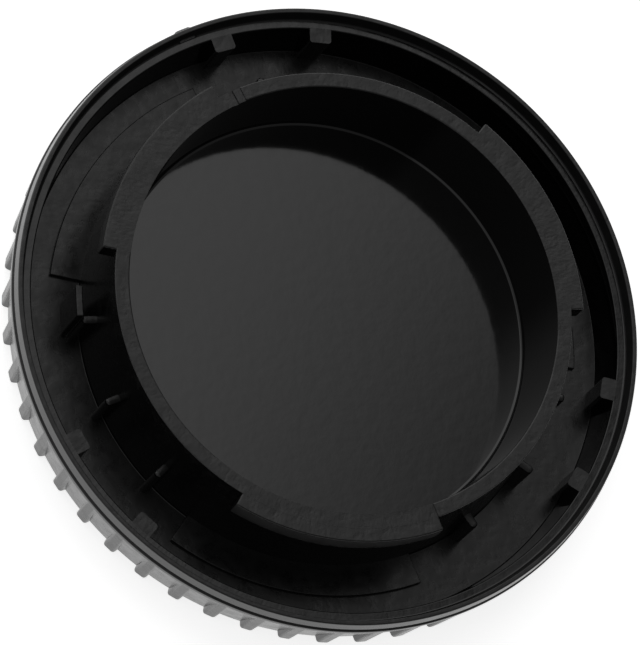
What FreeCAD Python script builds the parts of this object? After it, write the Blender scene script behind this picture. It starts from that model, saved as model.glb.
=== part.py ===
import FreeCAD, Part
import math
import os

import Sketcher

# Body cap for a camera with a three-lug bayonet, moulded in one piece.
#
# The cap lies on its front face. The origin is the centre of that face and +Z points to the
# camera side, so a ring with three lugs stands up in the middle, a channel runs round it, and
# a toothed skirt with a thin lip closes the outside. Angles are in degrees about +Z, from +X,
# where one tooth has its centre.

# Driving sizes in millimetres and degrees: name, value, what it measures.
SIZES = [
    ("dish_inset", 0.75, "how far the hollow in the front face stays inside the recess"),
    ("dish_depth", 1.4, "depth of that hollow"),
    ("dish_slope", 0.8, "how much wider the hollow is at the front face"),
    ("disc_thickness", 1.84, "wall between the hollow and the bottom of the recess"),
    ("floor_thickness", 1.88, "wall under the channel"),
    ("skirt_height", 7.65, "front face to the top of the lip"),
    ("lip_radius", 30.25, "outside of the lip at its top"),
    ("lip_width", 0.45, "width of the lip at its top"),
    ("lip_height", 1.31, "lip over the ledge"),
    ("lip_draft", 0.13, "how much wider the lip is at its outer foot"),
    ("lip_inner_draft", 0.2, "how much narrower it is at its inner foot"),
    ("seam_drop", 1.1, "lip top to the fine seam round the outside"),
    ("seam_height", 0.34, "height of the seam's mouth"),
    ("seam_depth", 0.3, "depth of the seam below the band"),
    ("band_proud", 0.14, "plain band under the seam, past the foot of the lip"),
    ("grip_height", 5.83, "front face to the lower edge of the band"),
    ("grip_taper", 1.37, "how much narrower the valleys are at the front face"),
    ("ledge_width", 0.9, "width of the ledge inside the lip"),
    ("skirt_draft", 0.6, "how much narrower the skirt's bore is at the floor"),
    ("ring_projection", 4.16, "ring over the lip"),
    ("ring_radius", 22.22, "outside of the ring at its top"),
    ("ring_draft", 0.73, "how much wider the ring is at the floor"),
    ("ring_width", 1.39, "width of the ring at its top"),
    ("bore_draft", 0.48, "how much narrower the bore is at its bottom"),
    ("tooth_count", 50, "teeth round the grip"),
    ("tooth_foot", 0.25, "front face to the front end of a tooth"),
    ("tooth_height", 0.71, "height of a tooth over the valley at its front end"),
    ("tooth_sink", 0.02, "crest under the band where a tooth runs out"),
    ("tooth_root_width", 1.64, "width of a tooth at its root"),
    ("tooth_flat", 0.86, "flat of the crest between its softened edges"),
    ("tooth_bevel", 0.21, "softened long edges of a tooth"),
    ("tooth_end_bevel", 0.3, "softened front end of a tooth"),
    ("index_angle", 111.6, "centre of the index rib"),
    ("index_height", 0.9, "height of the index rib over the valley at its front end"),
    ("index_proud", 0.2, "how far its top stands past the band"),
    ("index_width", 2.2, "width of the index rib at its root"),
    ("index_flat", 1.3, "flat of its crest"),
    ("index_bevel", 0.35, "softened long edges of the index rib"),
    ("lug_count", 3, "bayonet lugs, and sets of tabs and ribs between them"),
    ("lug_start", -2.8, "first end of the first lug"),
    ("lug_sweep", 50.3, "angle that a lug takes up"),
    ("lug_reach", 1.28, "how far the lugs stand out past the top of the ring"),
    ("lug_drop", 0.15, "top of the ring to the top of a lug"),
    ("lug_thickness", 2.02, "thickness of a lug"),
    ("lug_bevel", 0.16, "bevelled edges of a lug"),
    ("slide_lead", 5.9, "how far the moulded step starts before its lug"),
    ("slide_step", 0.08, "depth of that step in the top of the ring"),
    ("slide_pad_reach", 3.98, "how far the raised pad under a lug goes past the ring's top"),
    ("slide_pad_height", 0.4, "height of that pad"),
    ("notch_angle", 114.1, "fine notch across the ring before one lug"),
    ("notch_width", 0.5, "width of that notch"),
    ("notch_depth", 0.12, "depth of that notch"),
    ("tab_angle", 85.1, "centre of the first tab on the skirt"),
    ("tab_spacing", 20.0, "angle between two tabs"),
    ("tab_reach", 1.45, "how far a tab stands in from the ledge"),
    ("tab_width", 2.1, "width of a tab"),
    ("tab_bevel", 0.2, "softened edges of a tab"),
    ("rib_angle", 60.6, "centre of the first rib on the ring"),
    ("rib_spacing", 19.65, "angle between two ribs"),
    ("rib_reach", 1.78, "how far a rib goes past the top of the ring"),
    ("rib_width", 0.88, "width of a rib"),
    ("rib_bevel", 0.2, "softened edges of a rib"),
    ("rib_height", 4.8, "floor to the top of a rib"),
    ("stop_start", 173.3, "first end of the short stop wall"),
    ("stop_sweep", 7.0, "angle that the stop wall takes up"),
    ("stop_reach", 2.43, "outside of the stop wall, past the top of the ring"),
    ("stop_width", 0.65, "thickness of the stop wall"),
    ("stop_height", 5.4, "floor to the top of the stop wall"),
    ("bite", 0.4, "how far added pieces reach into the wall that carries them"),
    ("lip_bevel", 0.12, "softened edges of the lip"),
    ("ledge_bevel", 0.18, "softened inner edge of the ledge"),
    ("ring_bevel", 0.14, "softened edges of the ring"),
    ("front_bevel", 0.3, "softened outer edge of the front face"),
]
TABS_PER_SET = 2
RIBS_PER_SET = 3

FULL_TURN = 360
TOLERANCE = 1e-4

# Radii and heights over the front face that follow from the sizes.
LIP_INNER = "(sizes.lip_radius - sizes.lip_width)"
LIP_OUTER_FOOT = "(sizes.lip_radius + sizes.lip_draft)"
LIP_INNER_FOOT = f"({LIP_INNER} - sizes.lip_inner_draft)"
BAND = f"({LIP_OUTER_FOOT} + sizes.band_proud)"
SEAM = f"({BAND} - sizes.seam_depth)"
VALLEY = f"({BAND} - sizes.grip_taper)"
GRIP_ROOT = f"({VALLEY} - sizes.bite)"
TOOTH_CREST = f"({VALLEY} + sizes.tooth_height)"
INDEX_CREST = f"({VALLEY} + sizes.index_height)"
SKIRT_BORE = f"({LIP_INNER_FOOT} - sizes.ledge_width)"
SKIRT_FOOT = f"({SKIRT_BORE} - sizes.skirt_draft)"
RING_FOOT = "(sizes.ring_radius + sizes.ring_draft)"
RING_BORE = "(sizes.ring_radius - sizes.ring_width)"
BORE_FOOT = f"({RING_BORE} - sizes.bore_draft)"
DISH_FOOT = f"({BORE_FOOT} - sizes.dish_inset)"
LUG_EDGE = "(sizes.ring_radius + sizes.lug_reach)"
PAD_EDGE = "(sizes.ring_radius + sizes.slide_pad_reach)"
STOP_EDGE = "(sizes.ring_radius + sizes.stop_reach)"

LEDGE = "(sizes.skirt_height - sizes.lip_height)"
SEAM_TOP = "(sizes.skirt_height - sizes.seam_drop)"
BAND_TOP = f"({SEAM_TOP} - sizes.seam_height)"
DISC_TOP = "(sizes.dish_depth + sizes.disc_thickness)"
PAD_TOP = "(sizes.floor_thickness + sizes.slide_pad_height)"
STOP_TOP = "(sizes.floor_thickness + sizes.stop_height)"
UNDER_FLOOR = "(sizes.floor_thickness - sizes.bite)"
RING_TOP = "(sizes.skirt_height + sizes.ring_projection)"
STEP_BOTTOM = f"({RING_TOP} - sizes.slide_step)"
OVER_RING = f"({RING_TOP} + sizes.bite)"
LUG_TOP = f"({RING_TOP} - sizes.lug_drop)"
LUG_UNDERSIDE = f"({LUG_TOP} - sizes.lug_thickness)"
GRIP_RISE = "(sizes.grip_height - sizes.tooth_foot)"

INSIDE_BORE = f"({RING_BORE} - sizes.bite)"
OUTSIDE_RING = "(sizes.ring_radius + sizes.bite)"
CREST_SLOPE = f"(({BAND} - sizes.tooth_sink - {TOOTH_CREST}) / {GRIP_RISE})"
CREST_COSINE = f"cos(atan({CREST_SLOPE}))"
SLIDE_START = "(sizes.lug_start - sizes.slide_lead)"
SLIDE_SWEEP = "(sizes.lug_sweep + sizes.slide_lead)"

doc = FreeCAD.newDocument("body_cap")
sheet = doc.addObject("Spreadsheet::Sheet", "sizes")
for row, (alias, size, meaning) in enumerate(SIZES, start=1):
    sheet.set(f"A{row}", alias)
    sheet.set(f"B{row}", str(size))
    sheet.set(f"C{row}", meaning)
    sheet.setAlias(f"B{row}", alias)
doc.recompute()

body = doc.addObject("PartDesign::Body", "body_cap")
body.Label = "body_cap"
origin = {feature.Role: feature for feature in body.Origin.OriginFeatures}
doc.recompute()


def value(formula):
    """Number that a formula on the sheet gives now."""
    result = sheet.evalExpression(str(formula))
    return float(getattr(result, "Value", result))


def flat_sketch(name, turn, height):
    """Sketch across the cap at a height, its x axis turned about +Z."""
    sketch = body.newObject("Sketcher::SketchObject", name)
    sketch.AttachmentSupport = (origin["XY_Plane"], [""])
    sketch.MapMode = "FlatFace"
    sketch.AttachmentOffset = FreeCAD.Placement(
        FreeCAD.Vector(0, 0, value(height)),
        FreeCAD.Rotation(FreeCAD.Vector(0, 0, 1), value(turn)),
    )
    sketch.setExpression("AttachmentOffset.Base.z", height)
    sketch.setExpression("AttachmentOffset.Rotation.Angle", turn)
    return sketch


def tilted_sketch(name, slope, height):
    """Sketch through the axis at a height, falling outwards along +X with a slope."""
    sketch = body.newObject("Sketcher::SketchObject", name)
    sketch.AttachmentSupport = (origin["XY_Plane"], [""])
    sketch.MapMode = "FlatFace"
    sketch.AttachmentOffset = FreeCAD.Placement(
        FreeCAD.Vector(0, 0, value(height)),
        FreeCAD.Rotation(FreeCAD.Vector(0, 1, 0), value(f"atan({slope})")),
    )
    sketch.setExpression("AttachmentOffset.Base.z", height)
    sketch.setExpression("AttachmentOffset.Rotation.Angle", f"atan({slope})")
    return sketch


def section_sketch(name, turn):
    """Sketch through the axis: x is the radius, y the height, turned about +Z."""
    sketch = body.newObject("Sketcher::SketchObject", name)
    sketch.AttachmentSupport = (origin["XZ_Plane"], [""])
    sketch.MapMode = "FlatFace"
    sketch.AttachmentOffset = FreeCAD.Placement(
        FreeCAD.Vector(0, 0, 0),
        FreeCAD.Rotation(FreeCAD.Vector(0, 1, 0), value(turn)),
    )
    sketch.setExpression("AttachmentOffset.Rotation.Angle", turn)
    return sketch


def bind(sketch, kind, name, formula, *where):
    """Dimension of a sketch that follows a formula."""
    index = sketch.addConstraint(Sketcher.Constraint(kind, *where, value(formula)))
    sketch.renameConstraint(index, name)
    sketch.setExpression(f"Constraints.{name}", formula)


def pin(sketch, edge, end, across, up):
    """Hold one end of an edge at two formulas; "0" puts it on an axis."""
    if across == "0":
        sketch.addConstraint(Sketcher.Constraint("PointOnObject", edge, end, -2))
    else:
        bind(sketch, "DistanceX", f"across_{edge}_{end}", across, -1, 1, edge, end)
    if up == "0":
        sketch.addConstraint(Sketcher.Constraint("PointOnObject", edge, end, -1))
    else:
        bind(sketch, "DistanceY", f"up_{edge}_{end}", up, -1, 1, edge, end)


def line(sketch, start, end):
    """Straight edge between two points."""
    return sketch.addGeometry(Part.LineSegment(FreeCAD.Vector(*start, 0), FreeCAD.Vector(*end, 0)))


def closed_outline(sketch, corners):
    """Closed outline of straight edges through corners given as two formulas each."""
    points = [(value(across), value(up)) for across, up in corners]
    count = len(points)
    for index in range(count):
        line(sketch, points[index], points[(index + 1) % count])
    for index in range(count):
        sketch.addConstraint(Sketcher.Constraint("Coincident", index, 2, (index + 1) % count, 1))
        pin(sketch, index, 1, *corners[index])


def bar_outline(sketch, root, tip, root_width, tip_flat, bevel):
    """Bar along the x axis, outwards or inwards, with two bevelled corners at its tip."""
    back = "-" if value(tip) > value(root) else "+"
    shoulder = (f"{tip} {back} {bevel}", f"({tip_flat} / 2 + {bevel})")
    closed_outline(sketch, [
        (root, f"-{root_width} / 2"),
        (shoulder[0], f"-{shoulder[1]}"),
        (tip, f"-{tip_flat} / 2"),
        (tip, f"{tip_flat} / 2"),
        shoulder,
        (root, f"{root_width} / 2"),
    ])


def pad_up(name, sketch, length, along=None):
    """Added material square to its sketch, or along a line in a sketch of its own."""
    pad = body.newObject("PartDesign::Pad", name)
    pad.Profile = sketch
    if along is not None:
        pad.ReferenceAxis = (along, ["Edge1"])
        pad.AlongSketchNormal = True
    pad.setExpression("Length", length)
    doc.recompute()
    return pad


def slant(name, turn, low_radius, low_height, high_radius, high_height):
    """Sketch with one slanted line through the axis plane, which a bar follows."""
    sketch = section_sketch(name, turn)
    line(sketch, (value(low_radius), value(low_height)), (value(high_radius), value(high_height)))
    pin(sketch, 0, 1, low_radius, low_height)
    pin(sketch, 0, 2, high_radius, high_height)
    return sketch


def sweep(name, kind, turn, angle, corners):
    """Section turned about the axis from one angle on, as added or removed material."""
    sketch = section_sketch(f"{name}_section", turn)
    closed_outline(sketch, corners)
    feature = body.newObject(kind, name)
    feature.Profile = sketch
    feature.ReferenceAxis = (sketch, ["V_Axis"])
    feature.setExpression("Angle", angle)
    doc.recompute()
    return feature


def repeat(name, originals, count):
    """Copies of features, evenly round the axis."""
    pattern = body.newObject("PartDesign::PolarPattern", name)
    pattern.Originals = originals
    pattern.Axis = (origin["Z_Axis"], [""])
    pattern.Angle = FULL_TURN
    pattern.setExpression("Occurrences", count)
    body.Tip = pattern
    doc.recompute()
    return pattern


def near(first, second):
    """Whether two lengths are the same."""
    return abs(first - second) < TOLERANCE


def round_edges_at(shape, radius, height):
    """Names of the edges that are circles or arcs about the axis at a radius and height."""
    names = []
    for index, edge in enumerate(shape.Edges, start=1):
        if not isinstance(edge.Curve, Part.Circle):
            continue
        centre = edge.Curve.Center
        on_axis = near(math.hypot(centre.x, centre.y), 0)
        if on_axis and near(edge.Curve.Radius, value(radius)) and near(centre.z, value(height)):
            names.append(f"Edge{index}")
    return names


def soften(name, width, places):
    """Bevel on the circular edges at the given radii and heights."""
    base = body.Tip
    edges = []
    for radius, height in places:
        found = round_edges_at(base.Shape, radius, height)
        if not found:
            raise RuntimeError(f"{name}: no edge at {value(radius)}, {value(height)}")
        edges.extend(found)
    bevel = body.newObject("PartDesign::Chamfer", name)
    bevel.Base = (base, edges)
    bevel.setExpression("Size", width)
    doc.recompute()
    return bevel


# The shell: floor, ring wall, disc, skirt, ledge and lip in one turned section.
sweep("shell", "PartDesign::Revolution", "0", str(FULL_TURN), [
    ("0", "sizes.dish_depth"),
    (DISH_FOOT, "sizes.dish_depth"),
    (f"{DISH_FOOT} + sizes.dish_slope", "0"),
    (VALLEY, "0"),
    (BAND, "sizes.grip_height"),
    (BAND, BAND_TOP),
    (SEAM, f"{BAND_TOP} + sizes.seam_height / 2"),
    (LIP_OUTER_FOOT, SEAM_TOP),
    ("sizes.lip_radius", "sizes.skirt_height"),
    (LIP_INNER, "sizes.skirt_height"),
    (LIP_INNER_FOOT, LEDGE),
    (SKIRT_BORE, LEDGE),
    (SKIRT_FOOT, "sizes.floor_thickness"),
    (RING_FOOT, "sizes.floor_thickness"),
    ("sizes.ring_radius", RING_TOP),
    (RING_BORE, RING_TOP),
    (BORE_FOOT, DISC_TOP),
    ("0", DISC_TOP),
])
soften("lip_edges", "sizes.lip_bevel", [
    ("sizes.lip_radius", "sizes.skirt_height"),
    (LIP_INNER, "sizes.skirt_height"),
])
soften("ledge_edge", "sizes.ledge_bevel", [(SKIRT_BORE, LEDGE)])
soften("ring_edges", "sizes.ring_bevel", [("sizes.ring_radius", RING_TOP), (RING_BORE, RING_TOP)])
soften("front_edge", "sizes.front_bevel", [(VALLEY, "0")])

# Each lug stands over a sector that the mould's slide leaves: a fine step in the top of the
# ring and a low pad on the floor.
step_cut = sweep("slide_step", "PartDesign::Groove", SLIDE_START, SLIDE_SWEEP, [
    (INSIDE_BORE, STEP_BOTTOM),
    (OUTSIDE_RING, STEP_BOTTOM),
    (OUTSIDE_RING, OVER_RING),
    (INSIDE_BORE, OVER_RING),
])
repeat("slide_steps", [step_cut], "sizes.lug_count")
floor_pad = sweep("slide_pad", "PartDesign::Revolution", SLIDE_START, SLIDE_SWEEP, [
    ("sizes.ring_radius", UNDER_FLOOR),
    (PAD_EDGE, UNDER_FLOOR),
    (PAD_EDGE, PAD_TOP),
    ("sizes.ring_radius", PAD_TOP),
])
repeat("slide_pads", [floor_pad], "sizes.lug_count")

# The lugs that turn in behind the camera's mount.
lug = sweep("lug", "PartDesign::Revolution", "sizes.lug_start", "sizes.lug_sweep", [
    ("sizes.ring_radius - sizes.bite", LUG_UNDERSIDE),
    (LUG_EDGE, LUG_UNDERSIDE),
    (LUG_EDGE, LUG_TOP),
    ("sizes.ring_radius - sizes.bite", LUG_TOP),
])
repeat("lugs", [lug], "sizes.lug_count")
soften("lug_edges", "sizes.lug_bevel", [(LUG_EDGE, LUG_TOP), (LUG_EDGE, LUG_UNDERSIDE)])

# Tabs on the inside of the skirt, level with the ledge.
tabs = []
for place in range(TABS_PER_SET):
    turn = f"sizes.tab_angle + {place} * sizes.tab_spacing"
    outline = flat_sketch(f"tab_{place + 1}_outline", turn, "sizes.floor_thickness")
    bar_outline(outline, f"{SKIRT_BORE} + sizes.bite", f"{SKIRT_BORE} - sizes.tab_reach",
                "sizes.tab_width", "(sizes.tab_width - 2 * sizes.tab_bevel)", "sizes.tab_bevel")
    tabs.append(pad_up(f"tab_{place + 1}", outline, f"{LEDGE} - sizes.floor_thickness"))
repeat("tabs", tabs, "sizes.lug_count")

# Ribs on the outside of the ring.
ribs = []
for place in range(RIBS_PER_SET):
    turn = f"sizes.rib_angle + {place} * sizes.rib_spacing"
    outline = flat_sketch(f"rib_{place + 1}_outline", turn, "sizes.floor_thickness")
    bar_outline(outline, "sizes.ring_radius - sizes.bite", "sizes.ring_radius + sizes.rib_reach",
                "sizes.rib_width", "(sizes.rib_width - 2 * sizes.rib_bevel)", "sizes.rib_bevel")
    ribs.append(pad_up(f"rib_{place + 1}", outline, "sizes.rib_height"))
repeat("ribs", ribs, "sizes.lug_count")

# One short wall from a rib towards the end of a lug's pad stops a wrong turn.
sweep("stop_wall", "PartDesign::Revolution", "sizes.stop_start", "sizes.stop_sweep", [
    (f"{STOP_EDGE} - sizes.stop_width", UNDER_FLOOR),
    (STOP_EDGE, UNDER_FLOOR),
    (STOP_EDGE, STOP_TOP),
    (f"{STOP_EDGE} - sizes.stop_width", STOP_TOP),
])

# A fine notch across the top of the ring.
notch_sketch = flat_sketch("notch_outline", "sizes.notch_angle", RING_TOP)
closed_outline(notch_sketch, [
    (INSIDE_BORE, "sizes.notch_width / 2"),
    (OUTSIDE_RING, "sizes.notch_width / 2"),
    (OUTSIDE_RING, "-sizes.notch_width / 2"),
    (INSIDE_BORE, "-sizes.notch_width / 2"),
])
notch = body.newObject("PartDesign::Pocket", "notch")
notch.Profile = notch_sketch
notch.setExpression("Length", "sizes.slide_step + sizes.notch_depth")
doc.recompute()

# The teeth of the grip follow their slanted crest and run out under the band. Each is drawn
# square to its crest.
tooth_sketch = tilted_sketch("tooth_outline", CREST_SLOPE,
                             f"sizes.tooth_foot + {TOOTH_CREST} * {CREST_SLOPE}")
bar_outline(tooth_sketch, f"{GRIP_ROOT} / {CREST_COSINE}", f"{TOOTH_CREST} / {CREST_COSINE}",
            "sizes.tooth_root_width", "sizes.tooth_flat", "sizes.tooth_bevel")
tooth = pad_up("tooth", tooth_sketch, f"{GRIP_RISE} / {CREST_COSINE}")

# A slanted cut takes the corner off the front end of each tooth.
end_sketch = section_sketch("tooth_end_section", "0")
closed_outline(end_sketch, [
    (f"{TOOTH_CREST} - sizes.tooth_end_bevel - sizes.bite", "sizes.tooth_foot - sizes.bite"),
    (f"{TOOTH_CREST} + sizes.bite", "sizes.tooth_foot - sizes.bite"),
    (f"{TOOTH_CREST} + sizes.bite", "sizes.tooth_foot + sizes.tooth_end_bevel + sizes.bite"),
])
tooth_end = body.newObject("PartDesign::Pocket", "tooth_end")
tooth_end.Profile = end_sketch
tooth_end.Midplane = True
tooth_end.setExpression("Length", "2 * sizes.tooth_root_width")
repeat("teeth", [tooth, tooth_end], "sizes.tooth_count")

# The index rib lies in a valley, stands out past the lip and shows which way the cap goes on.
index_crest = slant("index_crest_line", "sizes.index_angle", INDEX_CREST, "sizes.tooth_foot",
                    f"{BAND} + sizes.index_proud", SEAM_TOP)
index_sketch = flat_sketch("index_outline", "sizes.index_angle", "sizes.tooth_foot")
bar_outline(index_sketch, GRIP_ROOT, INDEX_CREST,
            "sizes.index_width", "sizes.index_flat", "sizes.index_bevel")
pad_up("index_rib", index_sketch, f"{SEAM_TOP} - sizes.tooth_foot", along=index_crest)

doc.recompute()
for item in doc.Objects:
    if {"Invalid", "Error"} & set(item.State):
        raise RuntimeError(f"{item.Name}: {item.State}")
if body.Shape.isNull() or not body.Shape.isValid() or len(body.Shape.Solids) != 1:
    raise RuntimeError("body_cap is not one valid solid")
box = body.Shape.optimalBoundingBox()
print("box", round(box.XLength, 3), round(box.YLength, 3), round(box.ZLength, 3))
print("faces", len(body.Shape.Faces), "volume", round(body.Shape.Volume, 2))

os.makedirs("parts", exist_ok=True)
body.Shape.exportStep(f"parts/{body.Label}.step")
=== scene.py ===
# %% [markdown]
# # A camera body cap
#
# The object is the round black cap that closes a camera when no lens is on it. It is one piece
# of moulded plastic: a floor with a toothed skirt and a thin lip outside, and a ring with three
# bayonet lugs inside. This lesson models it with true rounded edges, gives each part of it the
# finish of the mould, and sets up the light and the camera of the photograph.

# %% Load the frame
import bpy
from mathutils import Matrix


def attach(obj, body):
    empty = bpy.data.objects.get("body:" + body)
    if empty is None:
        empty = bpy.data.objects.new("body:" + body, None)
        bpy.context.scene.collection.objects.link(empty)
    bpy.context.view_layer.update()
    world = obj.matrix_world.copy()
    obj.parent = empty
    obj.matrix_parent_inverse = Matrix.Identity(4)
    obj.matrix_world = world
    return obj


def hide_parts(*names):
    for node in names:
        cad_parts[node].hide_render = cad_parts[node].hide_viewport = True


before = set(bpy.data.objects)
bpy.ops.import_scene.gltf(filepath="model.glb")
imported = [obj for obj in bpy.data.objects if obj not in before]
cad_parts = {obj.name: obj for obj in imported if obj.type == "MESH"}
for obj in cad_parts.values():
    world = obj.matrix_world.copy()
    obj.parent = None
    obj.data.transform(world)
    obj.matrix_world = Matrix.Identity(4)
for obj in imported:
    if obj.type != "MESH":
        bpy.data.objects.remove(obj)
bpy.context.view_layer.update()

# %% [markdown]
# The solid carries the cap's form with flat bevels. Light shows rounded edges as thin bright
# lines, so this piece has the same sizes with round edges instead. Everything is written in
# millimetres, as on a drawing, and becomes metres in one place, when a mesh is kept.

# %% Tools and units
import math
from collections import Counter

import bmesh
import bpy
from mathutils import Matrix, Vector

MM = 0.001
AXIS = Vector((0, 0, 1))
CENTRE = Vector((0, 0, 0))
AROUND = 400
CLOSE = 1e-6


def keep_mesh(name, bm):
    """Object in metres from a bmesh in millimetres, its faces pointing outwards."""
    bmesh.ops.recalc_face_normals(bm, faces=bm.faces[:])
    bmesh.ops.scale(bm, vec=(MM, MM, MM), verts=bm.verts[:])
    mesh = bpy.data.meshes.new(name)
    bm.to_mesh(mesh)
    bm.free()
    piece = bpy.data.objects.new(name, mesh)
    bpy.context.scene.collection.objects.link(piece)
    print(name, len(mesh.polygons), "faces")
    return piece


# %% [markdown]
# ## The turned shell
#
# Everything but the teeth, lugs, tabs and ribs is round about one axis. A lathe would cut it
# from one outline, and so does this cell: the outline is a chain of edges from the axis out
# round the skirt and back in to the axis. A vertex bevel rounds each corner by its own radius
# before the chain is spun, which costs far fewer faces than rounding the finished solid.

# %% Sizes of the shell
FLOOR = 1.88
DISC_TOP = 3.24
LEDGE = 6.34
SEAM_TOP = 6.55
LIP_TOP = 7.65
RING_TOP = 11.81
RING_BORE = 20.83
RING = 22.22
RING_FOOT = 22.95
SKIRT_FOOT = 28.1
SKIRT_BORE = 28.7
VALLEY = 29.15
LIP_FOOT = 29.6
BAND = 30.52

# Radius from the axis, height over the front face, and how much the corner is rounded.
OUTLINE = [
    (0.0, 1.4, 0.0),
    (19.6, 1.4, 0.25),
    (20.4, 0.0, 0.3),
    (VALLEY, 0.0, 0.35),
    (BAND, 5.83, 0.08),
    (BAND, 6.21, 0.07),
    (30.22, 6.38, 0.04),
    (30.38, SEAM_TOP, 0.06),
    (30.25, LIP_TOP, 0.14),
    (29.8, LIP_TOP, 0.09),
    (LIP_FOOT, LEDGE, 0.22),
    (SKIRT_BORE, LEDGE, 0.12),
    (SKIRT_FOOT, FLOOR, 0.08),
    (RING_FOOT, FLOOR, 0.12),
    (RING, RING_TOP, 0.09),
    (RING_BORE, RING_TOP, 0.15),
    (20.35, DISC_TOP, 0.3),
    (0.0, DISC_TOP, 0.0),
]
print("outline of", len(OUTLINE), "corners")


# %% Spin the outline
def rounded_chain(bm, outline):
    """Chain of edges through the outline's corners, each rounded by its own radius."""
    corners = [bm.verts.new((radius, 0, height)) for radius, height, _ in outline]
    for first, second in zip(corners, corners[1:]):
        bm.edges.new((first, second))
    for corner, (_, _, rounding) in zip(corners, outline):
        if rounding:
            bmesh.ops.bevel(bm, geom=[corner], offset=rounding, offset_type="OFFSET", segments=4,
                            profile=0.5, affect="VERTICES", material=-1)


shell = bmesh.new()
rounded_chain(shell, OUTLINE)
bmesh.ops.spin(shell, geom=shell.verts[:] + shell.edges[:], cent=CENTRE, axis=AXIS,
               angle=math.tau, steps=AROUND, use_merge=True)
bmesh.ops.remove_doubles(shell, verts=shell.verts[:], dist=0.0005)
cap = keep_mesh("cap_body", shell)

# %% [markdown]
# ## Bars: teeth, tabs, ribs and the index rib
#
# Each of these is a straight bar that grows out of a round wall. A cube stretched to the bar's
# size, drawn in at its tip and rounded along its edges, gives the shape with a few dozen faces.
# The bar's root lies inside the wall that carries it, so that the two can be joined later.

# %% A bar along the X axis
def bar(bm, root, tip, foot, top, root_width, tip_width, rounding, lean=0.0, corner=0.0):
    """Bar from radius root to tip, height foot to top. Its top leans outwards by lean, and the
    upright edges of its tip may have a larger rounding of their own, called corner."""
    verts = bmesh.ops.create_cube(bm, size=1.0)["verts"]
    bmesh.ops.translate(bm, vec=(0.5, 0, 0.5), verts=verts)
    bmesh.ops.scale(bm, vec=(tip - root, root_width, top - foot), verts=verts)
    bmesh.ops.translate(bm, vec=(root, 0, foot), verts=verts)
    tip_verts = [vert for vert in verts if abs(vert.co.x - tip) < CLOSE]
    bmesh.ops.scale(bm, vec=(1, tip_width / root_width, 1), verts=tip_verts)
    top_verts = [vert for vert in verts if abs(vert.co.z - top) < CLOSE]
    bmesh.ops.translate(bm, vec=(lean, 0, 0), verts=top_verts)
    edges = {edge for vert in tip_verts for edge in vert.link_edges}
    if corner:
        verts, edges = round_tip(bm, verts, edges, root + lean, 0.5 * (top - foot), corner)
    bevelled = bmesh.ops.bevel(bm, geom=list(edges), offset=rounding, offset_type="OFFSET",
                               segments=3, profile=0.5, affect="EDGES", material=-1,
                               clamp_overlap=True)
    return list({vert for face in bevelled["faces"] for vert in face.verts} |
                {vert for vert in verts if vert.is_valid})


def round_tip(bm, verts, edges, root, upright, corner):
    """Round the upright edges of a bar's tip. Gives the bar's vertices, and the edges round its
    lid that stand clear of the root."""
    steep = [edge for edge in edges
             if abs(edge.verts[0].co.z - edge.verts[1].co.z) > upright]
    rounded = bmesh.ops.bevel(bm, geom=steep, offset=corner, offset_type="OFFSET", segments=4,
                              profile=0.5, affect="EDGES", material=-1)
    verts = [vert for vert in verts if vert.is_valid] + rounded["verts"]
    lid = max({face for vert in verts for face in vert.link_faces},
              key=lambda face: face.calc_center_median().z)
    return verts, [edge for edge in lid.edges
                   if max(vert.co.x for vert in edge.verts) > root + 0.01]


def turned(bm, verts, angle):
    """Turn vertices about the cap's axis, in degrees."""
    bmesh.ops.rotate(bm, cent=CENTRE, matrix=Matrix.Rotation(math.radians(angle), 3, "Z"),
                     verts=verts)


# %% [markdown]
# ## The grip
#
# The grip has fifty teeth. Their crests lean outwards towards the camera side and run out under
# the plain band, so a thumb can turn the cap. One tooth is made and a spin with duplicates
# sets the others round the skirt.

# %% Fifty teeth
TEETH = 50
TOOTH_ROOT = 28.75
TOOTH_CREST = 29.86
TOOTH_FOOT = 0.25
TOOTH_TOP = 5.95
TOOTH_SLOPE = 0.64 / 5.58


def copies_round(bm, geometry, count):
    """The geometry again at each of count even places round the axis."""
    bmesh.ops.spin(bm, geom=geometry, cent=CENTRE, axis=AXIS,
                   angle=math.tau * (count - 1) / count, steps=count - 1, use_duplicate=True)


additions = bmesh.new()
bar(additions, TOOTH_ROOT, TOOTH_CREST, TOOTH_FOOT, TOOTH_TOP, root_width=1.66, tip_width=1.22,
    rounding=0.26, lean=TOOTH_SLOPE * (TOOTH_TOP - TOOTH_FOOT))
copies_round(additions, additions.verts[:] + additions.edges[:] + additions.faces[:], TEETH)
print(TEETH, "teeth,", len(additions.faces), "faces")

# %% [markdown]
# ## Tabs and ribs
#
# Two tabs between each pair of lugs stand in from the ledge, and three slim ribs stand on the
# outside of the ring. They keep the mount's raised ring centred in the channel. The set repeats
# three times round the cap, as the lugs do, so a loop turns the same bars to each place.

# %% Three sets of tabs and ribs
SETS = 3
TAB_ROOT = SKIRT_BORE + 0.4
TAB_TIP = 27.36
TAB_WIDTH = 2.1
TAB_PLACES = (85.1, 105.1)
RIB_ROOT = RING - 0.2
RIB_TIP = 24.0
RIB_HEIGHT = 4.8
RIB_PLACES = (60.6, 80.25, 99.9)
SUNK = 0.3

for start in range(0, 360, 360 // SETS):
    for place in TAB_PLACES:
        turned(additions, bar(additions, TAB_ROOT, TAB_TIP, FLOOR - SUNK, LEDGE, TAB_WIDTH,
                              TAB_WIDTH, rounding=0.14, corner=0.28), start + place)
    for place in RIB_PLACES:
        turned(additions, bar(additions, RIB_ROOT, RIB_TIP, FLOOR - SUNK, FLOOR + RIB_HEIGHT,
                              root_width=0.88, tip_width=0.8, rounding=0.34), start + place)
print(SETS * len(TAB_PLACES), "tabs and", SETS * len(RIB_PLACES), "ribs")

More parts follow.
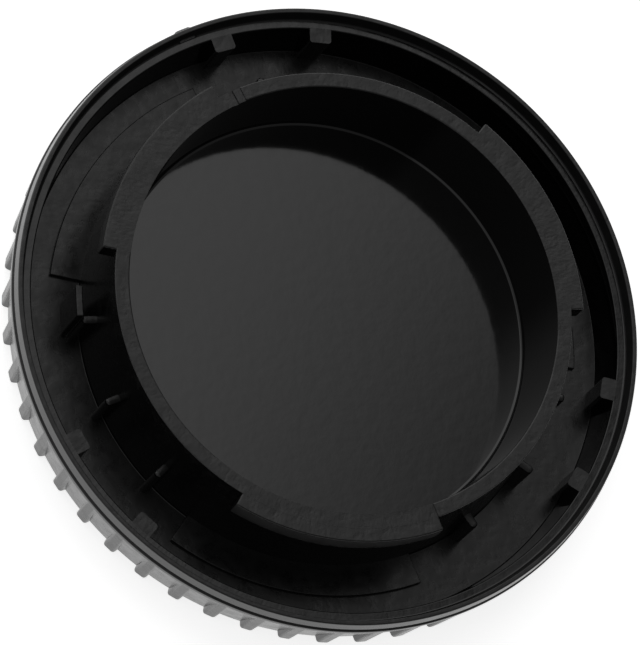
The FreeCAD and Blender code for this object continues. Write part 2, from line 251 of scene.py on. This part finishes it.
# %% [markdown]
# ## Swept pieces: lugs, pads and the stop wall
#
# A lug is a short arc of a flat ring. Its section is one rectangle, spun through the angle that
# the lug takes up, and the edges of the arc are rounded afterwards. The low pad under each lug,
# where the mould's slides close, and the stop wall beside one lug are made the same way.

# %% An arc with a rectangular section
def arc(bm, inner, outer, bottom, top, start, sweep, rounding=0.0):
    """Rectangle spun about the axis from an angle on, its long and end edges rounded."""
    corners = [bm.verts.new((radius, 0, height)) for radius, height in
               ((inner, bottom), (outer, bottom), (outer, top), (inner, top))]
    section = bm.faces.new(corners)
    turned(bm, corners, start)
    steps = max(4, round(sweep / 360 * AROUND))
    seen = set(bm.faces)
    bmesh.ops.spin(bm, geom=[section] + list(section.edges) + corners, cent=CENTRE, axis=AXIS,
                   angle=math.radians(sweep), steps=steps)
    added = [face for face in bm.faces if face not in seen or face == section]
    bmesh.ops.recalc_face_normals(bm, faces=added)
    if rounding:
        edges = {edge for face in added for edge in face.edges}
        sharp = [edge for edge in edges if edge.calc_face_angle(0) > math.radians(45)]
        bmesh.ops.bevel(bm, geom=sharp, offset=rounding, offset_type="OFFSET", segments=4,
                        profile=0.5, affect="EDGES", material=-1, clamp_overlap=True)


# %% Lugs and their pads
LUG_PLACES = (-2.8, 117.2, 237.2)
LUG_SWEEP = 50.3
LUG_ROOT = RING - 0.5
LUG_REACH = 23.5
LUG_UNDERSIDE = 9.64
LUG_TOP = 11.72
PAD_REACH = 25.9
PAD_HEIGHT = 0.4
SLIDE_LEAD = 5.9

for start in LUG_PLACES:
    arc(additions, LUG_ROOT, LUG_REACH, LUG_UNDERSIDE, LUG_TOP, start, LUG_SWEEP,
        rounding=0.15)
    arc(additions, RING, PAD_REACH, FLOOR - PAD_HEIGHT, FLOOR + PAD_HEIGHT, start - SLIDE_LEAD,
        LUG_SWEEP + SLIDE_LEAD, rounding=0.1)
first_part = keep_mesh("first_part", additions)

# %% The stop wall and the index rib
STOP_INSIDE = 24.0
STOP_OUTSIDE = 24.65
STOP_HEIGHT = 5.4
STOP_PLACE = 173.3
STOP_SWEEP = 7.0
INDEX_CREST = 30.05
INDEX_LEAN = 0.67
INDEX_PLACE = 111.6

extras = bmesh.new()
arc(extras, STOP_INSIDE, STOP_OUTSIDE, FLOOR - 0.4, FLOOR + STOP_HEIGHT, STOP_PLACE, STOP_SWEEP,
    rounding=0.12)
turned(extras, bar(extras, TOOTH_ROOT, INDEX_CREST, TOOTH_FOOT, SEAM_TOP, root_width=2.2,
                   tip_width=1.9, rounding=0.4, lean=INDEX_LEAN), INDEX_PLACE)
second_part = keep_mesh("second_part", extras)

# %% [markdown]
# The mould's slides leave a fine step in the top of the ring under each lug, and one notch is
# cut across it. These are taken away before the lugs go on, with arcs that are a little wider
# than the ring, so no sliver is left at its walls.

# %% Cuts in the top of the ring
STEP_DEPTH = 0.08
NOTCH_DEPTH = 0.2
NOTCH_PLACE = 113.44
NOTCH_SWEEP = 1.33
CLEAR = 0.4

cuts = bmesh.new()
for start in LUG_PLACES:
    arc(cuts, RING_BORE - CLEAR, RING + CLEAR, RING_TOP - STEP_DEPTH, RING_TOP + CLEAR,
        start - SLIDE_LEAD, LUG_SWEEP + SLIDE_LEAD)
step_cuts = keep_mesh("step_cuts", cuts)
cuts = bmesh.new()
arc(cuts, RING_BORE - CLEAR, RING + CLEAR, RING_TOP - NOTCH_DEPTH, RING_TOP + CLEAR, NOTCH_PLACE,
    NOTCH_SWEEP)
notch_cut = keep_mesh("notch_cut", cuts)

# %% [markdown]
# ## One moulded piece
#
# The real cap has no joints, so the parts are joined into one closed skin by booleans, which
# leaves nothing inside the plastic. A count of open edges shows that the skin is closed.

# %% Join and cut
def combined(base, tool, operation):
    """Mesh of base after one boolean with tool, which is then deleted."""
    step = base.modifiers.new(operation, "BOOLEAN")
    step.operation = operation
    step.solver = "MANIFOLD"
    step.object = tool
    done = bpy.data.meshes.new_from_object(
        base.evaluated_get(bpy.context.evaluated_depsgraph_get()))
    base.modifiers.clear()
    base.data = done
    bpy.data.objects.remove(tool)


for tool, operation in ((step_cuts, "DIFFERENCE"), (notch_cut, "DIFFERENCE"),
                        (first_part, "UNION"), (second_part, "UNION")):
    combined(cap, tool, operation)
    print(operation.lower(), len(cap.data.polygons), "faces")

# %% Measure the skin
check = bmesh.new()
check.from_mesh(cap.data)
print("open edges", sum(1 for edge in check.edges if not edge.is_manifold),
      "volume", round(check.calc_volume() / MM ** 3, 1), "mm3,",
      sum(len(face.verts) - 2 for face in check.faces), "triangles")
check.free()

# %% [markdown]
# ## Shading
#
# Smooth shading blends the way the faces look across each edge, and a narrow flat beside a
# rounding then shades as if it were tilted. The Weighted Normal modifier is made for that, but
# on an object as small as this one it leaves the narrow flats tilted. So this cell sets the
# normals itself: round each corner the largest of the faces that meet smoothly decides. The
# flats then mirror the studio straight, and the roundings alone carry the highlights.

# %% Shading of the skin
SMOOTH_LIMIT = math.cos(math.radians(40))


def flat_normals(mesh):
    """Normals for each face corner, led by the largest of the faces that meet there smoothly."""
    around = [[] for _ in mesh.vertices]
    for face in mesh.polygons:
        for index in face.vertices:
            around[index].append((face.area / MM ** 2, face.normal.copy()))
    normals = []
    for face in mesh.polygons:
        for index in face.vertices:
            total = Vector((0, 0, 0))
            for area, normal in around[index]:
                if normal.dot(face.normal) > SMOOTH_LIMIT:
                    total += area ** 2 * normal
            normals.append(total.normalized())
    return normals


cap.data.shade_smooth()
cap.data.normals_split_custom_set(flat_normals(cap.data))
print("normals set at", len(cap.data.loops), "face corners")

# %% [markdown]
# ## One black plastic in several finishes
#
# The plastic's own colour is almost black, and what the eye sees is the reflection of the
# studio in its skin. So the finishes of the mould matter more than the colour. All of them come
# from one function: a roughness that wanders a little, a fine grain, and a swell, the slight
# unevenness over about a millimetre that shows as a soft mottle on moulded flats.

# %% A node with its settings
def node(tree, kind, place, **settings):
    """Node of a tree with its sockets and properties set."""
    made = tree.nodes.new(kind)
    made.location = place
    for name, setting in settings.items():
        if name in made.inputs:
            made.inputs[name].default_value = setting
        else:
            setattr(made, name, setting)
    return made


# %% Black plastic
PLASTIC_IOR = 1.54
DARKEST = (0.0015, 0.0015, 0.0015, 1)
LIGHTEST = (0.0035, 0.0035, 0.0035, 1)
PATCH_SIZE = 1 / 0.9


def black_plastic(name, roughness, mottle, grain_size, grain_depth, shine=0.5, swell=0.0):
    """Black plastic whose roughness wanders by mottle. Its grain has a size and a depth, and its
    swell a depth, in millimetres."""
    material = bpy.data.materials.new(name)
    material.use_nodes = True
    tree = material.node_tree
    shader = tree.nodes["Principled BSDF"]
    shader.inputs["IOR"].default_value = PLASTIC_IOR
    shader.inputs["Specular IOR Level"].default_value = shine
    place = node(tree, "ShaderNodeTexCoord", (-1200, 0))
    grain = node(tree, "ShaderNodeTexNoise", (-900, 200), Scale=1 / (grain_size * MM), Detail=2.0)
    patches = node(tree, "ShaderNodeTexNoise", (-900, -100), Scale=1 / (PATCH_SIZE * MM),
                   Detail=4.0)
    for texture in (grain, patches):
        tree.links.new(place.outputs["Object"], texture.inputs["Vector"])
    colour = node(tree, "ShaderNodeMixRGB", (-300, 300), Color1=DARKEST, Color2=LIGHTEST)
    tree.links.new(patches.outputs["Fac"], colour.inputs["Fac"])
    tree.links.new(colour.outputs["Color"], shader.inputs["Base Color"])
    rough = node(tree, "ShaderNodeMapRange", (-300, 0))
    for socket, level in (("From Min", 0.3), ("From Max", 0.7), ("To Min", roughness - mottle),
                          ("To Max", roughness + mottle)):
        rough.inputs[socket].default_value = level
    tree.links.new(patches.outputs["Fac"], rough.inputs["Value"])
    tree.links.new(rough.outputs["Result"], shader.inputs["Roughness"])
    wave = node(tree, "ShaderNodeBump", (-500, -400), Strength=1.0, Distance=swell * MM)
    bump = node(tree, "ShaderNodeBump", (-300, -300), Strength=1.0, Distance=grain_depth * MM)
    tree.links.new(patches.outputs["Fac"], wave.inputs["Height"])
    tree.links.new(grain.outputs["Fac"], bump.inputs["Height"])
    tree.links.new(wave.outputs["Normal"], bump.inputs["Normal"])
    tree.links.new(bump.outputs["Normal"], shader.inputs["Normal"])
    return material


# %% [markdown]
# The grip and most walls are satin. The disc is polished and mirrors like dark glass, the inner
# wall of the skirt is brighter still, and the bore and the fine edges mirror less. The tops of
# the ring, the lugs and the lip are spark-eroded and mottled, the floor of the channel has a
# softer sheen, and the lip is smooth outside and coarse inside.

# %% The finishes
# Name, roughness, how far that wanders, size of the grain, depth of the grain.
FINISHES = {
    "satin": black_plastic("satin_black", 0.26, 0.04, 0.12, 0.0006),
    "polished": black_plastic("polished_black", 0.08, 0.01, 0.6, 0.0005, swell=0.003),
    "textured": black_plastic("textured_black", 0.40, 0.10, 0.28, 0.014, swell=0.06),
    "coarse": black_plastic("coarse_black", 0.58, 0.05, 0.15, 0.004),
    "sheen": black_plastic("sheen_black", 0.29, 0.06, 0.28, 0.006, shine=0.42, swell=0.03),
    "ledge": black_plastic("ledge_black", 0.15, 0.05, 0.28, 0.004, shine=0.42, swell=0.01),
    "mirror": black_plastic("bright_black", 0.03, 0.01, 0.6, 0.0003),
    "bore": black_plastic("bore_black", 0.08, 0.01, 0.6, 0.0005, shine=0.3),
    "lip": black_plastic("lip_black", 0.22, 0.04, 0.12, 0.0006, shine=0.72),
}
print(len(FINISHES), "finishes")

# %% [markdown]
# A face takes its finish from where it lies and which way it looks. That is one function with a
# line for each place, so no face has to be picked by hand. The sizes are those of the outline.

# %% Which finish a face takes
UPWARDS = 0.7
FLAT = 0.97


def finish_of(face):
    """Name of a face's finish, from its place and the way it looks."""
    middle = face.center / MM
    radius, height, up = math.hypot(middle.x, middle.y), middle.z, face.normal.z
    lip_side = radius > 30.2 and 5.85 < height < 7.6 and abs(up) < UPWARDS
    skirt_wall = 27.8 < radius < SKIRT_BORE + 0.05 and 2 < height < LEDGE - 0.1 and up < UPWARDS
    ring_foot = RING_FOOT - 0.25 < radius < RING_FOOT + 0.35 and height < 2.2 and up < FLAT
    lug_edge = LUG_REACH - 0.2 < radius < LUG_REACH and height > 11.5 and up < FLAT
    recess = radius < RING_BORE - 0.02 and 2 < height < RING_TOP - 0.2
    ledge = 28.5 < radius < LIP_FOOT + 0.15 and abs(height - LEDGE) < 0.1
    lug_side = abs(radius - LUG_REACH) < 0.1 and height > 9
    lip_bore = 29.5 < radius < 29.9 and height > 6.4
    if lip_side:
        return "lip"
    if skirt_wall:
        return "mirror"
    if lug_edge or ring_foot:
        return "bore"
    if recess:
        return "polished" if up > UPWARDS else "bore"
    if up > UPWARDS:
        if radius > RING and height < 3:
            return "sheen"
        return "ledge" if ledge else "textured"
    return "coarse" if lug_side or lip_bore else "satin"


# %% Give each face its finish
cap.data.materials.clear()
for finish in FINISHES.values():
    cap.data.materials.append(finish)
slots = list(FINISHES)
for face in cap.data.polygons:
    face.material_index = slots.index(finish_of(face))
print(dict(Counter(slots[face.material_index] for face in cap.data.polygons)))
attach(cap, "root")
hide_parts("body_cap")

# %% [markdown]
# ## Floor
#
# The cap lies on a white sweep that shows as pure white round it, and the grip mirrors that
# white at a flat angle. More light would bleach the cap, so the floor glows only for the camera
# and for reflections, over white paint that is lit and keeps the cap's soft shadow.

# %% White sweep
PAINT = (0.8, 0.8, 0.8, 1)
WHITE = (1, 1, 1, 1)
FLOOR_GLOW = 0.78
FLOOR_REACH = 2000
FLOOR_GAP = 0.02


def white_sweep():
    """White floor that keeps a soft shadow."""
    material = bpy.data.materials.new("white_sweep")
    material.use_nodes = True
    tree = material.node_tree
    tree.nodes.remove(tree.nodes["Principled BSDF"])
    output = tree.nodes["Material Output"]
    rays = node(tree, "ShaderNodeLightPath", (-900, 200))
    seen = node(tree, "ShaderNodeMath", (-600, 200), operation="MAXIMUM")
    tree.links.new(rays.outputs["Is Camera Ray"], seen.inputs[0])
    tree.links.new(rays.outputs["Is Glossy Ray"], seen.inputs[1])
    paint = node(tree, "ShaderNodeBsdfDiffuse", (-600, 0), Color=PAINT)
    glow = node(tree, "ShaderNodeEmission", (-600, -200), Color=WHITE, Strength=FLOOR_GLOW)
    both = node(tree, "ShaderNodeAddShader", (-300, -100))
    mix = node(tree, "ShaderNodeMixShader", (-100, 0))
    tree.links.new(paint.outputs[0], both.inputs[0])
    tree.links.new(glow.outputs[0], both.inputs[1])
    tree.links.new(seen.outputs[0], mix.inputs[0])
    tree.links.new(paint.outputs[0], mix.inputs[1])
    tree.links.new(both.outputs[0], mix.inputs[2])
    tree.links.new(mix.outputs[0], output.inputs["Surface"])
    return material


ground = bmesh.new()
bmesh.ops.create_grid(ground, x_segments=1, y_segments=1, size=FLOOR_REACH)
bmesh.ops.translate(ground, vec=(0, 0, -FLOOR_GAP), verts=ground.verts[:])
floor = keep_mesh("floor", ground)
floor.data.materials.append(white_sweep())

# %% [markdown]
# ## Light
#
# A white tent stands on one side of the cap. Lamps would leave hard spots in the polished disc,
# so the tent is the world itself, whose brightness depends on the direction. Its edge passes
# overhead just where the disc mirrors the studio towards the camera, so the disc fades from
# bright to dark across its width. A second, slower fade dims the side behind the camera.

# %% Studio tent
TENT_LIGHT = 1.08
ROOM_LIGHT = 0.17
# Azimuth, where the fade starts and ends along it, and the level there.
CLOTH_EDGE = (145.0, -0.155, -0.06, 0.0, 1.0)
CLOTH_FALL = (250.0, -0.36, -0.05, 1.0, 0.25)


def towards(tree, place, azimuth, start, end, first, last):
    """Level that goes from first to last as a direction turns towards an azimuth."""
    turn = math.radians(azimuth)
    side = node(tree, "ShaderNodeVectorMath", (-1000, 0), operation="DOT_PRODUCT")
    side.inputs[1].default_value = (math.cos(turn), math.sin(turn), 0)
    tree.links.new(place.outputs["Generated"], side.inputs[0])
    fade = node(tree, "ShaderNodeMapRange", (-800, 0), interpolation_type="SMOOTHSTEP")
    for socket, level in (("From Min", start), ("From Max", end), ("To Min", first),
                          ("To Max", last)):
        fade.inputs[socket].default_value = level
    tree.links.new(side.outputs["Value"], fade.inputs["Value"])
    return fade.outputs["Result"]


def studio_tent():
    """World that is bright on one side and dim on the others, and white behind the cap."""
    tent = bpy.data.worlds.new("studio_tent")
    tent.use_nodes = True
    tree = tent.node_tree
    back = tree.nodes["Background"]
    back.inputs["Color"].default_value = WHITE
    place = node(tree, "ShaderNodeTexCoord", (-1200, 0))
    cloth = node(tree, "ShaderNodeMath", (-600, 0), operation="MULTIPLY")
    tree.links.new(towards(tree, place, *CLOTH_EDGE), cloth.inputs[0])
    tree.links.new(towards(tree, place, *CLOTH_FALL), cloth.inputs[1])
    level = node(tree, "ShaderNodeMapRange", (-400, 0))
    level.inputs["To Min"].default_value = ROOM_LIGHT
    level.inputs["To Max"].default_value = TENT_LIGHT
    tree.links.new(cloth.outputs["Value"], level.inputs["Value"])
    rays = node(tree, "ShaderNodeLightPath", (-400, 300))
    light = node(tree, "ShaderNodeMix", (-200, 100))
    light.inputs["B"].default_value = 1.0
    tree.links.new(rays.outputs["Is Camera Ray"], light.inputs["Factor"])
    tree.links.new(level.outputs["Result"], light.inputs["A"])
    tree.links.new(light.outputs["Result"], back.inputs["Strength"])
    return tent


bpy.context.scene.world = studio_tent()
print("tent from", ROOM_LIGHT, "to", TENT_LIGHT)

# %% [markdown]
# ## Camera
#
# The photograph was taken from a long way off with a long lens, 26 degrees off the cap's axis,
# and with the camera rolled. The ellipses that the lip and the ring make give these angles.
# The image's right and up directions are the camera's X and Y axes.

# %% The photograph's view
CAMERA_AZIMUTH = math.radians(222.5)
CAMERA_ELEVATION = math.radians(63.97)
CAMERA_ROLL = math.radians(44.23)
CAMERA_DISTANCE = 664.4 * MM
CAMERA_LENS = 402.1
CAMERA_SENSOR = 36.0
TARGET = Vector((-1.288, -0.980, 7.65)) * MM

backwards = Vector((math.cos(CAMERA_ELEVATION) * math.cos(CAMERA_AZIMUTH),
                    math.cos(CAMERA_ELEVATION) * math.sin(CAMERA_AZIMUTH),
                    math.sin(CAMERA_ELEVATION)))
sideways = (-backwards).cross(AXIS).normalized()
upright = sideways.cross(-backwards)
across = math.cos(CAMERA_ROLL) * sideways + math.sin(CAMERA_ROLL) * upright
up = math.cos(CAMERA_ROLL) * upright - math.sin(CAMERA_ROLL) * sideways

camera_data = bpy.data.cameras.new("camera")
camera_data.lens = CAMERA_LENS
camera_data.sensor_width = CAMERA_SENSOR
camera_data.sensor_fit = "HORIZONTAL"
camera = bpy.data.objects.new("camera", camera_data)
bpy.context.scene.collection.objects.link(camera)
camera.matrix_world = Matrix.LocRotScale(TARGET + CAMERA_DISTANCE * backwards,
                                         Matrix((across, up, backwards)).transposed(), None)
bpy.context.scene.camera = camera
print("camera at", [round(side / MM, 1) for side in camera.matrix_world.translation], "mm")

# %% [markdown]
# ## Finish
#
# The view transform is Standard, so a colour shows as it is written.

# %% Finish
bpy.context.scene.view_settings.view_transform = "Standard"
